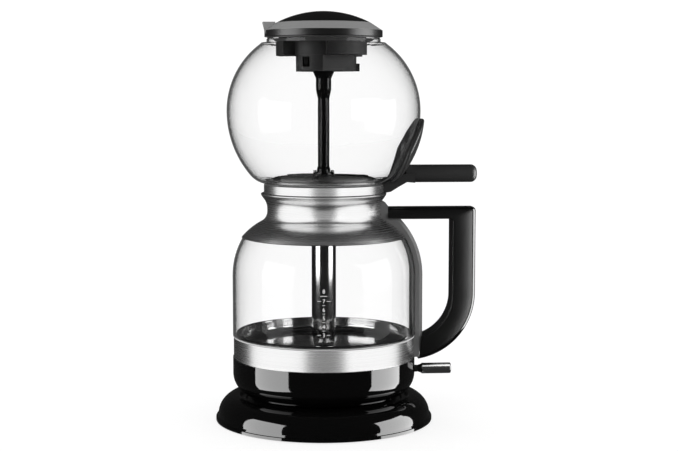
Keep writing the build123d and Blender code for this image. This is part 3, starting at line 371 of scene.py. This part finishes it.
for step, numeral in enumerate(numerals):
    print_on_glass(digit_outline(numeral, mark_h), mark_z + step * mark_step)
    if step in (0, last_step):
        for side in (-1, 1):
            left, right = sorted((side * side_dash_in, side * side_dash_out))
            dash = bar(left, right, -side_dash_half_h, side_dash_half_h)
            print_on_glass(dash, mark_z + step * mark_step)
    if step < last_step:
        dash = bar(-dash_half_w, dash_half_w, -dash_half_h, dash_half_h)
        print_on_glass(dash, mark_z + (step + 0.5) * mark_step)
print_on_glass(bar(-long_line_half_w, long_line_half_w, -dash_half_h, dash_half_h), long_line_z)
print_on_glass(digit_outline("8", mark_h), top_mark_z)
marks = mesh_piece("cup_marks", mark_points, mark_faces, "carafe", "mark_white", smooth=False)

# The grip: a band between the trim and the finger gap, with faces that fall away towards the
# trim and a rounded edge round the finger gap. The trim goes on from it to the far side.
grip_low, grip_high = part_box("handle_grip")
trim_low, trim_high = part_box("handle_trim")
right_x = grip_high[0]
top_z = grip_high[2]
start_x = grip_low[0]
half_w = 0.012
grip_fall = 0.0038  # the grip is this much thinner at the trim, on each side
trim_face_w = 0.0036  # the most width that the trim's slopes are worked out for
edge_r = 0.0015  # rounding round the finger gap
face_steps = 12
edge_steps = 8
arm_face_h = 0.0082
grip_face_w = 0.0188
outer_corner = 0.002
inner_corner = 0.003
bow_outer_r = 0.0578
bow_inner_r = 0.0390
trim_bow_r = 0.0614
trim_corner = 0.004
bow_centre_z = trim_low[2] + trim_bow_r
inner_drop = 0.0015
spine_low, spine_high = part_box("handle_spine")
spine_foot_h = 0.020  # height of the spine's slanted foot
spine_foot_in = 0.0029  # the foot starts this far in from the spine's outer side
sweep_step = 0.05  # degrees, in the search for where the bow meets the spine


def spine_edge(z):
    """How far out the spine's slanted foot reaches at a height."""
    share = min(1.0, max(0.0, (z - spine_low[2]) / spine_foot_h))
    return spine_high[0] - spine_foot_in * (1.0 - share)


def loop_line(right, top, corner, bow_r, bow_z, counts):
    """Evenly counted points along the arm, round the corner, down the side and round the bow."""
    along, around_corner, down, around_bow = counts
    line = []
    for i in range(along):
        line.append((start_x + (right - corner - start_x) * i / along, top))
    for i in range(around_corner):
        angle = math.radians(90 - 90 * i / around_corner)
        line.append((right - corner + corner * math.cos(angle), top - corner + corner * math.sin(angle)))
    for i in range(down):
        line.append((right, top - corner + (bow_z - top + corner) * i / down))
    centre_x = right - bow_r
    sweep = 0.0
    while True:
        x = centre_x + bow_r * math.cos(math.radians(sweep))
        z = bow_z + bow_r * math.sin(math.radians(sweep))
        if x <= spine_edge(z):
            break
        sweep -= sweep_step
    for i in range(around_bow + 1):
        angle = math.radians(sweep * i / around_bow)
        line.append((centre_x + bow_r * math.cos(angle), bow_z + bow_r * math.sin(angle)))
    return line


counts = (24, 8, 30, 60)  # points along the arm, round the corner, down the side, round the bow
outer_line = loop_line(right_x, top_z, outer_corner, bow_outer_r, bow_centre_z, counts)
inner_line = loop_line(
    right_x - grip_face_w,
    top_z - arm_face_h,
    inner_corner,
    bow_inner_r,
    bow_centre_z - inner_drop,
    counts,
)
trim_line = loop_line(trim_high[0], trim_high[2], trim_corner, trim_bow_r, bow_centre_z, counts)


def face_profile(width):
    """Half the grip's section: share of the way across, and half thickness there."""
    line = []
    for i in range(face_steps + 1):
        share = i / face_steps * (1 - edge_r / width)
        line.append((share, half_w - grip_fall * (1 - share) ** 2))
    crest = line[-1][1]
    for i in range(1, edge_steps + 1):
        angle = math.radians(90 * i / edge_steps)
        line.append((1 - edge_r / width * (1 - math.sin(angle)), crest - edge_r * (1 - math.cos(angle))))
    return line


sharp_from = math.radians(50)  # edges bent more than this stay sharp


def loft_band(name, near_line, far_line, half_section, finish):
    """A closed band between two lines of the handle's loop; half_section gives half its section."""
    points, faces = [], []
    for (nx, nz), (fx, fz) in zip(near_line, far_line):
        half = half_section(math.hypot(fx - nx, fz - nz))
        section = [(share, -y) for share, y in half] + [(share, y) for share, y in reversed(half)]
        points += [(nx + (fx - nx) * share, y, nz + (fz - nz) * share) for share, y in section]
    per_ring = len(section)
    rings = len(near_line)
    for ring_no in range(rings - 1):
        for i in range(per_ring):
            a = ring_no * per_ring + i
            b = ring_no * per_ring + (i + 1) % per_ring
            faces.append((a, b, b + per_ring, a + per_ring))
    faces.append(tuple(range(per_ring)))
    faces.append(tuple((rings - 1) * per_ring + i for i in reversed(range(per_ring))))
    thing = mesh_piece(name, points, faces, "carafe", finish)
    rounded = bmesh.new()
    rounded.from_mesh(thing.data)
    bmesh.ops.recalc_face_normals(rounded, faces=rounded.faces)
    rounded.to_mesh(thing.data)
    rounded.free()
    thing.data.set_sharp_from_angle(angle=sharp_from)
    return thing


def trim_profile(width):
    """Half the trim's section: it falls away from the grip to the handle's far side."""
    # share of the way across, and slope there in degrees
    stretches = ((0.15, 8.0), (0.15, 22.0), (0.2, 32.0), (0.2, 42.0), (0.15, 64.0), (0.15, 78.0))
    share, y = 0.0, half_w - grip_fall
    line = [(share, y)]
    for part, slope in stretches:
        share += part
        y -= part * min(width, trim_face_w) * math.tan(math.radians(slope))
        line.append((share, y))
    return line


grip = loft_band("handle_grip_soft", outer_line, inner_line, face_profile, "grip_black")
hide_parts("handle_grip")
trim = loft_band("handle_trim_soft", outer_line, trim_line, trim_profile, "trim_gloss")
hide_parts("handle_trim")

# ---------------------------------------------------------------- floor, light and camera
def area_light(name, place, target, width, height, power):
    """A rectangular lamp that faces a target and isn't seen by the camera."""
    lamp = bpy.data.lights.new(name, "AREA")
    lamp.shape = "RECTANGLE"
    lamp.size = width
    lamp.size_y = height
    lamp.energy = power
    thing = bpy.data.objects.new(name, lamp)
    bpy.context.collection.objects.link(thing)
    thing.location = place
    thing.rotation_euler = (Vector(target) - Vector(place)).to_track_quat("-Z", "Y").to_euler()
    thing.visible_camera = False
    return thing


def around(distance, azimuth, height):
    """A point at an azimuth in degrees from the front, positive towards +X."""
    turn = math.radians(azimuth)
    return (distance * math.sin(turn), -distance * math.cos(turn), height)


floor_half_size = 6.0
floor_brightness = 0.7
room_white = 1.06
room_dark = 0.03
floor_mesh = bpy.data.meshes.new("floor")
floor_bm = bmesh.new()
bmesh.ops.create_grid(floor_bm, x_segments=1, y_segments=1, size=floor_half_size)
floor_bm.to_mesh(floor_mesh)
floor = bpy.data.objects.new("floor", floor_mesh)
bpy.context.collection.objects.link(floor)
floor_material, floor_bsdf = shader("floor", grey(0.35), 0.9)
floor_bsdf.inputs["Emission Color"].default_value = (1.0, 1.0, 1.0, 1.0)
floor_tree = floor_material.node_tree
floor_path = floor_tree.nodes.new("ShaderNodeLightPath")
floor_glow = floor_tree.nodes.new("ShaderNodeMath")  # white to the eye, dark in mirror images
floor_glow.operation = "LESS_THAN"
floor_glow.inputs[1].default_value = 0.5
floor_level = floor_tree.nodes.new("ShaderNodeMath")
floor_level.operation = "MULTIPLY"
floor_level.inputs[1].default_value = floor_brightness
floor_tree.links.new(floor_path.outputs["Glossy Depth"], floor_glow.inputs[0])
floor_tree.links.new(floor_glow.outputs[0], floor_level.inputs[0])
floor_tree.links.new(floor_level.outputs[0], floor_bsdf.inputs["Emission Strength"])
floor.data.materials.append(floor_material)
floor.visible_glossy = False

world = bpy.data.worlds.new("studio")
bpy.context.scene.world = world
world.use_nodes = True
tree = world.node_tree
back = tree.nodes["Background"]
path = tree.nodes.new("ShaderNodeLightPath")
mix = tree.nodes.new("ShaderNodeMix")
mix.data_type = "RGBA"
mix.inputs["A"].default_value = (*grey(room_white), 1.0)
mix.inputs["B"].default_value = (*grey(room_dark), 1.0)
mirrored = tree.nodes.new("ShaderNodeMath")  # mirror images see a dark room, glass sees white
mirrored.operation = "GREATER_THAN"
mirrored.inputs[1].default_value = 0.5
tree.links.new(path.outputs["Glossy Depth"], mirrored.inputs[0])
tree.links.new(mirrored.outputs[0], mix.inputs["Factor"])
tree.links.new(mix.outputs["Result"], back.inputs["Color"])
back.inputs["Strength"].default_value = 1.0

middle = (0.0, 0.0, 0.18)
brushed_nodes = [name for name in nodes if slots[name] == "brushed_steel"]
lever_nodes = ["lever_tip"]
polished_slots = ("polished_steel", "screw_steel", "brass", "aluminium", "filter_mesh")
polished_nodes = [name for name in nodes if slots[name] in polished_slots and name not in lever_nodes]
glass_nodes = [name for name in nodes if slots[name] == "clear_glass"]
lit_apart = brushed_nodes + lever_nodes + polished_nodes + glass_nodes
other_nodes = [name for name in nodes if name not in lit_apart]


def group(name, members, extra=()):
    """A collection of CAD nodes and pieces that some lamps reach alone."""
    collection = bpy.data.collections.new(name)
    for thing in [nodes[member] for member in members] + list(extra):
        collection.objects.link(thing)
    return collection


brushed = group("brushed", brushed_nodes)
polished = group("polished", polished_nodes)
lever = group("lever", lever_nodes)
glass = group("glass", glass_nodes)
others = group("others", other_nodes, extra=(marks, grip, trim))


def panel(name, place, width, height, radiance, receivers):
    """A lamp of an even brightness that reaches only one collection."""
    lamp = area_light(name, place, middle, width, height, radiance * math.pi * width * height)
    lamp.light_linking.receiver_collection = receivers
    return lamp


panel_away = 0.95  # from the axis to the side panels
panel("left_panel", around(panel_away, -71, 0.12), 0.85, 1.2, 7.5, others)
panel("right_panel", around(panel_away, 79, 0.12), 0.80, 1.2, 9.0, others)
panel("left_panel_glass", around(panel_away, -62, 0.2), 0.75, 0.55, 2.0, glass)
panel("right_panel_glass", around(panel_away, 66, 0.2), 0.75, 0.55, 2.0, glass)
glass_edge = panel("edge_panel_glass", (0.0, 1.6, 0.3), 4.5, 3.0, 0.2, glass)
glass_edge.visible_transmission = False
panel("left_panel_brushed", around(panel_away, -66, 0.3), 1.7, 2.2, 1.2, brushed)
panel("right_panel_brushed", around(panel_away, 62, 0.3), 1.7, 2.2, 1.2, brushed)
for label, receivers in (("polished", polished), ("lever", lever)):
    panel("left_panel_" + label, around(panel_away, -69, 0.15), 1.05, 1.3, 1.17, receivers)
    panel("right_panel_" + label, around(panel_away, 65, 0.15), 1.10, 1.3, 1.2, receivers)
panel("front_fill_brushed", (0.0, -2.4, 0.5), 3.2, 2.4, 0.3, brushed)
panel("top_fill_brushed", (0.0, -0.4, 2.2), 3.0, 3.0, 0.06, brushed)
panel("top_fill_polished", (0.0, 0.3, 2.2), 2.4, 2.4, 0.1, polished)
panel("top_strip_lever", (0.3, -0.6, 1.4), 1.2, 0.8, 1.4, lever)

focal_px = 1400.0
image_w = 678.0
camera_turn = math.radians(3.5)
camera_distance = 1.261
camera_height = 0.2965
aim_right = 0.0138
aim_drop = 0.1202
camera_data = bpy.data.cameras.new("camera")
camera_data.sensor_width = 36.0
camera_data.lens = 36.0 * focal_px / image_w
camera = bpy.data.objects.new("camera", camera_data)
bpy.context.collection.objects.link(camera)
forward = Vector((math.sin(camera_turn), math.cos(camera_turn), 0.0))
right = Vector((math.cos(camera_turn), -math.sin(camera_turn), 0.0))
camera.location = -camera_distance * forward + Vector((0, 0, camera_height))
aim = camera.location + camera_distance * forward + aim_right * right - Vector((0, 0, aim_drop))
camera.rotation_euler = (aim - camera.location).to_track_quat("-Z", "Y").to_euler()
bpy.context.scene.camera = camera
bpy.context.scene.view_settings.view_transform = "Standard"
